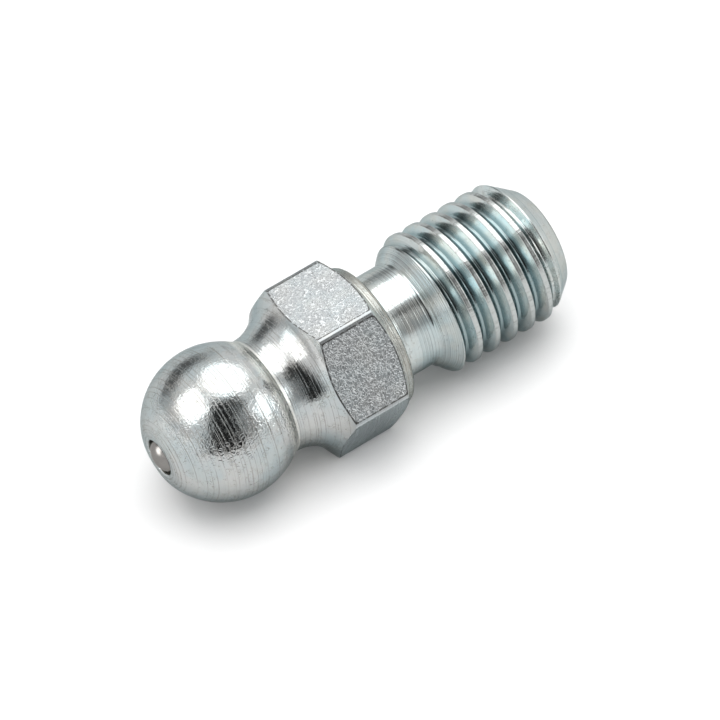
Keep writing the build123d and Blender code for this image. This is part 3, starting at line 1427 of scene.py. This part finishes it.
def faces_between(here: np.ndarray, after: np.ndarray) -> list[tuple[int, ...]]:
    """Faces between two rows of point numbers, with three corners where two of the four are one.

    Args:
        here: Numbers of the first row, closed by its last one.
        after: Numbers of the next row.

    Returns:
        The faces that have at least three corners.
    """
    loops = (dict.fromkeys(loop) for loop in zip(here[:-1], here[1:], after[1:], after[:-1]))
    return [tuple(int(point) for point in loop) for loop in loops if len(loop) > 2]


def drop_loose(mesh: bpy.types.Mesh) -> None:
    """Removes the points that no face uses.

    Args:
        mesh: The mesh, which is changed in place.
    """
    work = bmesh.new()
    work.from_mesh(mesh)
    bmesh.ops.delete(work, geom=[v for v in work.verts if not v.link_faces], context="VERTS")
    work.to_mesh(mesh)
    work.free()


def place_piece(name: str, mesh: bpy.types.Mesh) -> bpy.types.Object:
    """A new object at the origin with that mesh."""
    piece = bpy.data.objects.new(name, mesh)
    bpy.context.scene.collection.objects.link(piece)
    return piece


# ---------------------------------------------------------------- the valve
@dataclass
class CheckBall:
    """The hardened ball that closes the mouth."""

    radius: float = 0.95
    stands_proud: float = 0.24
    rings: int = 64
    segments: int = 96

    def skin(self, centre: Vector) -> bpy.types.Mesh:
        """Builds the ball's mesh, in rings of points between two poles.

        Args:
            centre: The ball's centre, in metres.

        Returns:
            The mesh.
        """
        rise = np.linspace(-math.pi / 2, math.pi / 2, self.rings + 1)[:, None]
        turn = np.arange(self.segments) * FULL_TURN / self.segments
        x, y = np.cos(rise) * np.cos(turn), np.cos(rise) * np.sin(turn)
        ball = np.stack([x, y, np.broadcast_to(np.sin(rise), x.shape)], axis=-1).reshape(-1, 3)
        index = np.arange(len(ball)).reshape(x.shape)
        index = np.concatenate([index, index[:, :1]], axis=1)
        for pole in (0, -1):
            index[pole] = index[pole, 0]
        faces = [face for rows in zip(index, index[1:]) for face in faces_between(*rows)]
        mesh = bpy.data.meshes.new("check_ball_polished")
        mesh.from_pydata((ball * self.radius * MM + np.array(centre)).tolist(), [], faces)
        return mesh

    def build(self) -> bpy.types.Object:
        """Builds the ball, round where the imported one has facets.

        Returns:
            The dressed ball.
        """
        low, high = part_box("nipple_body")
        tip_x = low.x - self.stands_proud * MM
        mesh = self.skin(Vector((tip_x + self.radius * MM, 0.0, (low.z + high.z) / 2)))
        drop_loose(mesh)
        mesh.shade_smooth()
        mesh.materials.append(Finish.BALL.material())
        piece = place_piece("check_ball_polished", mesh)
        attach(piece, "valve_ball")
        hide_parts("check_ball")
        return piece


@dataclass
class ValveSpring:
    """The wire spring behind the ball, with a closed turn ground flat at each end."""

    wire_radius: float = 0.11
    coil_radius: float = 0.79
    active_turns: float = 6.0
    closed_turns: float = 1.0
    closed_pitch: float = 0.24
    lift: float = 0.8
    cells_per_turn: int = 40
    wire_sides: int = 12

    def rule(self, start: Vector, end: Vector) -> Rule:
        """The Geometry Nodes group that winds the wire along its helix and grinds its ends.

        Args:
            start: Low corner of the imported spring's box.
            end: High corner of it.

        Returns:
            The group, ready to run.
        """
        rule = Rule("wound_spring", {
            "Start": start.x,
            "End": end.x,
            "Axis Height": (start.z + end.z) / 2,
            "Coil Radius": self.coil_radius * MM,
            "Wire Radius": self.wire_radius * MM,
            "Active Turns": self.active_turns,
            "Closed Turns": self.closed_turns,
            "Closed Pitch": self.closed_pitch * MM,
        })
        board, size = rule.board, rule.size
        turns = self.active_turns + 2 * self.closed_turns
        steps = int(turns * self.cells_per_turn)
        straight = board.wire("GeometryNodeMeshLine", None, {"Count": steps + 1})
        turn = board.wire("GeometryNodeInputIndex") * (turns / steps)
        active = (turn - size("Closed Turns")).at_least(0.0).at_most(size("Active Turns"))
        closed = turn - active
        inset = size("Wire Radius") / 2.0
        closed_length = size("Closed Turns") * size("Closed Pitch") * 2.0
        active_length = size("End") - size("Start") - inset * 2.0 - closed_length
        x = size("Start") + inset + closed * size("Closed Pitch")
        x = x + active * active_length / size("Active Turns")
        angle = turn * FULL_TURN
        y = board.math("COSINE", angle) * size("Coil Radius")
        z = board.math("SINE", angle) * size("Coil Radius") + size("Axis Height")
        sockets = {"Geometry": straight, "Position": board.joined(x, y, z)}
        wound = board.wire("GeometryNodeSetPosition", None, sockets)
        path = board.wire("GeometryNodeMeshToCurve", None, {"Mesh": wound})
        sockets = {"Resolution": self.wire_sides, "Radius": size("Wire Radius")}
        circle = board.wire("GeometryNodeCurvePrimitiveCircle", None, sockets)
        sockets = {"Curve": path, "Profile Curve": circle, "Fill Caps": True}
        wire = board.wire("GeometryNodeCurveToMesh", None, sockets)

        x, y, z = board.parts(board.wire("GeometryNodeInputPosition"))
        ground_x = x.at_least(size("Start")).at_most(size("End"))
        sockets = {"Geometry": wire, "Position": board.joined(ground_x, y, z)}
        ground = board.wire("GeometryNodeSetPosition", None, sockets)
        smooth = board.wire("GeometryNodeSetShadeSmooth", None, {0: ground})
        rule.finish(smooth, Finish.SPRING.material(), True)
        return rule

    def build(self) -> bpy.types.Object:
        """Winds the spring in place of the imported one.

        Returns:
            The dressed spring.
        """
        start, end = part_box("valve_spring")
        mesh = bpy.data.meshes.new("valve_spring_wound")
        mesh.from_pydata([tuple(start)], [], [])
        piece = place_piece("valve_spring_wound", mesh)
        self.rule(start, end).run(piece)
        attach(piece, "nipple")
        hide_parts("valve_spring")
        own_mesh(piece)
        return piece


# ---------------------------------------------------------------- the studio
@dataclass(frozen=True)
class WallPatch:
    """A stretch of the studio's walls that is darker or brighter, for the metal to mirror.

    Angles are in degrees: azimuth from -Y towards +X, and elevation above the floor. Its fades are
    half the width of its soft edges, on the left, right, low and high side.
    """

    azimuth: float
    sideways: tuple[float, float]
    upwards: tuple[float, float]
    fades: tuple[float, float, float, float]
    level: float

    def lay(self, board: Board, towards: Wire, level: Wire) -> Wire:
        """Sets the walls' level inside the patch.

        Args:
            board: The world's board.
            towards: Direction that is looked at.
            level: The walls' level so far.

        Returns:
            The level with this patch in it.
        """
        sine, cosine = math.sin(math.radians(self.azimuth)), math.cos(math.radians(self.azimuth))
        ahead, aside, above = (
            board.wire("ShaderNodeVectorMath", {"operation": "DOT_PRODUCT"}, {0: towards, 1: axis}, 1)
            for axis in ((sine, -cosine, 0.0), (cosine, sine, 0.0), (0.0, 0.0, 1.0))
        )
        sideways = board.math("ARCTAN2", aside, ahead) * math.degrees(1.0)
        upwards = board.math("ARCSINE", above) * math.degrees(1.0)
        left, right, low, high = self.fades
        inside = sideways.step(self.sideways[0] - left, self.sideways[0] + left)
        inside = inside * sideways.step(self.sideways[1] + right, self.sideways[1] - right)
        inside = inside * upwards.step(self.upwards[0] - low, self.upwards[0] + low)
        inside = inside * upwards.step(self.upwards[1] + high, self.upwards[1] - high)
        return level + inside * (self.level - level)


class LampShape(Enum):
    """Outline of a lamp's face, with the share of its width times its height that it fills."""

    RECTANGLE = 1.0
    ELLIPSE = math.pi / 4


@dataclass(frozen=True)
class Lamp:
    """A soft lamp that faces the nipple. Its sizes are in metres, and level 1 is a white face.

    A mirrored lamp only shows in the metal. The others only light the floor and the nipple.
    """

    name: str
    towards: Triple
    width: float
    height: float
    level: float
    aside: float = 0.0
    shape: LampShape = LampShape.RECTANGLE
    mirrored: bool = True
    distance: float = 0.4

    def hang(self) -> bpy.types.Object:
        """Hangs the lamp, and shifts it along its width by aside.

        Returns:
            The lamp.
        """
        data = bpy.data.lights.new(self.name, "AREA")
        data.shape = self.shape.name
        data.size, data.size_y = self.width, self.height
        data.energy = self.level * math.pi * self.width * self.height * self.shape.value
        lamp = bpy.data.objects.new(self.name, data)
        direction = Vector(self.towards).normalized()
        turn = direction.to_track_quat("Z", "Y")
        lamp.location = direction * self.distance + turn @ Vector((self.aside, 0.0, 0.0))
        lamp.rotation_mode = "QUATERNION"
        lamp.rotation_quaternion = turn
        lamp.visible_camera = False
        lamp.visible_glossy = self.mirrored
        lamp.visible_diffuse = not self.mirrored
        bpy.context.scene.collection.objects.link(lamp)
        return lamp


@dataclass
class Studio:
    """Floor, lamps, world and camera round the nipple.

    The floor's size and the camera's clip are in metres, its other lengths in millimetres, and its
    angles in degrees. The camera stands at azimuth and elevation, from -Y towards +X and upwards.
    """

    ambient: float = 0.70
    walls: float = 0.95
    floor_seen: float = 0.92
    floor_mirrored: float = 0.75
    floor_half_size: float = 3.0
    patches: tuple[WallPatch, ...] = (
        WallPatch(190.0, (-35.0, 32.0), (9.0, 33.0), (15.0, 20.0, 5.0, 8.0), 0.15),
        WallPatch(-105.0, (-30.0, 40.0), (-14.0, 13.0), (12.0, 14.0, 8.0, 6.0), 1.30),
        WallPatch(-110.0, (-40.0, 34.0), (14.0, 26.0), (8.0, 8.0, 5.0, 5.0), 0.60),
        WallPatch(0.0, (-10.0, 31.0), (8.0, 50.0), (3.0, 9.0, 8.0, 6.0), 0.36),
        WallPatch(0.0, (-10.0, 44.0), (46.0, 72.0), (3.0, 14.0, 4.0, 6.0), 0.10),
        WallPatch(0.0, (-52.0, 1.0), (-2.0, 76.0), (12.0, 2.0, 4.0, 8.0), 0.02),
    )
    lamps: tuple[Lamp, ...] = (
        Lamp("lamp_top", (0.370, 0.120, 0.921), 0.43, 0.43, 1.60, 0.045, LampShape.ELLIPSE),
        Lamp("lamp_left", (-0.570, 0.170, 0.800), 0.31, 0.25, 1.75, 0.015),
        Lamp("lamp_right", (0.76, -0.56, 0.37), 0.21, 0.20, 1.75),
        Lamp("lamp_key", (0.06, -0.02, 1.00), 0.46, 0.46, 2.3, mirrored=False),
    )
    ball_lamp: Lamp = Lamp(
        "lamp_ball", (-0.902, 0.385, 0.190), 0.21, 0.21, 4.6, shape=LampShape.ELLIPSE
    )

    azimuth: float = -28.3
    elevation: float = 45.292
    roll: float = -9.349
    distance: float = 250.0
    pixels_per_mm: float = 23.945
    aim: Triple = (-0.7077, 0.0, 3.5)
    shift_right: float = 1.0795
    shift_up: float = -0.173
    sensor_width: float = 36.0
    clip: Span = (0.01, 10.0)

    def camera(self) -> None:
        """Stands the camera at its angle."""
        turn, rise, roll = (math.radians(angle) for angle in (self.azimuth, self.elevation, self.roll))
        level = Vector((math.cos(turn), math.sin(turn), 0.0))
        out = math.cos(rise)
        back = Vector((math.sin(turn) * out, -math.cos(turn) * out, math.sin(rise)))
        steep = back.cross(level)
        right = level * math.cos(roll) + steep * math.sin(roll)
        up = steep * math.cos(roll) - level * math.sin(roll)
        target = Vector(self.aim) + right * self.shift_right + up * self.shift_up
        data = bpy.data.cameras.new("camera")
        data.sensor_width = self.sensor_width
        data.lens = self.sensor_width * self.distance * self.pixels_per_mm / IMAGE_PIXELS
        data.clip_start, data.clip_end = self.clip
        camera = bpy.data.objects.new("camera", data)
        turned = Matrix((right, up, back)).transposed().to_4x4()
        camera.matrix_world = Matrix.Translation((target + back * self.distance) * MM) @ turned
        bpy.context.scene.collection.objects.link(camera)
        bpy.context.scene.camera = camera

    def world(self) -> None:
        """White walls with patches that the metal mirrors. The camera sees plain white."""
        world = bpy.data.worlds.new("studio")
        bpy.context.scene.world = world
        world.use_nodes = True
        board = Board(world.node_tree)
        towards = board.wire("ShaderNodeTexCoord", None, None, "Generated")
        level = board.math("ADD", self.walls, 0.0)
        for patch in self.patches:
            level = patch.lay(board, towards, level)
        path = board.node("ShaderNodeLightPath")
        camera, glossy, transmitted = (
            Wire(board, path.outputs[f"Is {kind} Ray"]) for kind in ("Camera", "Glossy", "Transmission")
        )
        ambient = self.ambient + glossy.at_least(transmitted) * (level - self.ambient)
        strength = ambient + camera * (1.0 - ambient)
        sockets = {"Color": (1.0, 1.0, 1.0, 1.0), "Strength": strength}
        background = board.wire("ShaderNodeBackground", None, sockets)
        board.node("ShaderNodeOutputWorld", None, {"Surface": background})

    def floor(self) -> None:
        """Lays the pale floor, which keeps the nipple's shadow."""
        half = self.floor_half_size
        corners = [(-half, -half, 0), (half, -half, 0), (half, half, 0), (-half, half, 0)]
        mesh = bpy.data.meshes.new("floor")
        mesh.from_pydata(corners, [], [(0, 1, 2, 3)])
        material = bpy.data.materials.new("pale_floor")
        material.use_nodes = True
        board = Board(material.node_tree)
        seen = Wire(board, board.node("ShaderNodeLightPath").outputs["Is Camera Ray"])
        mirrored_face, seen_face = (
            board.wire("ShaderNodeBsdfDiffuse", None, {"Color": (grey, grey, grey, 1.0)})
            for grey in (self.floor_mirrored, self.floor_seen)
        )
        surface = board.wire("ShaderNodeMixShader", None, {0: seen, 1: mirrored_face, 2: seen_face})
        board.node("ShaderNodeOutputMaterial", None, {"Surface": surface})
        mesh.materials.append(material)
        place_piece("floor", mesh)

    def build(self, ball: bpy.types.Object) -> None:
        """Sets the whole studio up.

        Args:
            ball: The check ball, the only thing that the ball's lamp reaches.
        """
        bpy.context.scene.view_settings.view_transform = "Standard"
        self.camera()
        self.world()
        self.floor()
        for lamp in self.lamps:
            lamp.hang()
        reached = bpy.data.collections.new("lamp_ball_reaches")
        reached.objects.link(ball)
        self.ball_lamp.hang().light_linking.receiver_collection = reached


def main() -> None:
    """Builds the pieces in order and reports each one."""
    logging.basicConfig(level=logging.INFO, format="%(name)s: %(message)s")
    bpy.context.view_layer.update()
    ball = CheckBall().build()
    pieces = [NippleBody().build(), ball, ValveSpring().build()]
    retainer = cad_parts["spring_retainer"]
    retainer.data.materials.clear()
    retainer.data.materials.append(Finish.RETAINER.material())
    pieces.append(retainer)
    for piece in pieces:
        piece.data.calc_loop_triangles()
        LOG.info("%s: %d triangles", piece.name, len(piece.data.loop_triangles))
    Studio().build(ball)


if __name__ == "__main__":
    main()
